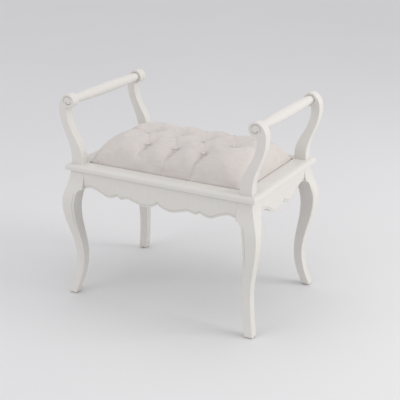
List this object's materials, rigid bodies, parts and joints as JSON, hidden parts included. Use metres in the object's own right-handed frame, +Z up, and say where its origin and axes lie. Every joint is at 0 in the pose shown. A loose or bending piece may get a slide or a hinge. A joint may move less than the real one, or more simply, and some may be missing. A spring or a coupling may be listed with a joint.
{
  "type": "piano bench",
  "caption": "Cabriole-leg piano bench with scalloped aprons, scrolled arm posts, turned hand rails and a buttoned drop-in seat.",
  "frame": {"origin": "on the floor, under the middle of the bench", "axes": "+X to the sitter's left-to-right long side, along the bench; +Y from the front apron to the rear apron; +Z up"},
  "size_m": [0.718, 0.471, 0.6725],
  "materials": {
    "painted_wood": "satin off-white paint",
    "raw_wood": "bare sanded softwood and plywood",
    "seat_fabric": "matt off-white linen weave",
    "foam": "cut upholstery foam",
    "twine": "waxed twine",
    "dust_cloth": "black non-woven cloth",
    "screw_steel": "zinc-plated",
    "glide_plastic": "moulded"
  },
  "bodies": {
    "root": {"leg_front_left": "painted_wood", "leg_front_right": "painted_wood", "leg_rear_left": "painted_wood", "leg_rear_right": "painted_wood", "apron_front": "painted_wood", "apron_rear": "painted_wood", "apron_left": "painted_wood", "apron_right": "painted_wood", "top_rail_front": "painted_wood", "top_rail_rear": "painted_wood", "top_rail_left": "painted_wood", "top_rail_right": "painted_wood", "arm_post_front_left": "painted_wood", "arm_post_front_right": "painted_wood", "arm_post_rear_left": "painted_wood", "arm_post_rear_right": "painted_wood", "arm_rail_left": "painted_wood", "arm_rail_right": "painted_wood", "corner_block_front_left": "raw_wood", "corner_block_front_right": "raw_wood", "corner_block_rear_left": "raw_wood", "corner_block_rear_right": "raw_wood", "seat_board": "raw_wood", "foam_pad": "foam", "seat_cover": "seat_fabric", "tuft_buttons": "seat_fabric", "button_twine": "twine", "dust_cover": "dust_cloth", "post_dowels": "raw_wood", "block_screws": "screw_steel", "frame_screws": "screw_steel", "seat_screws": "screw_steel", "foot_glides": "glide_plastic"}
  },
  "joints": []
}
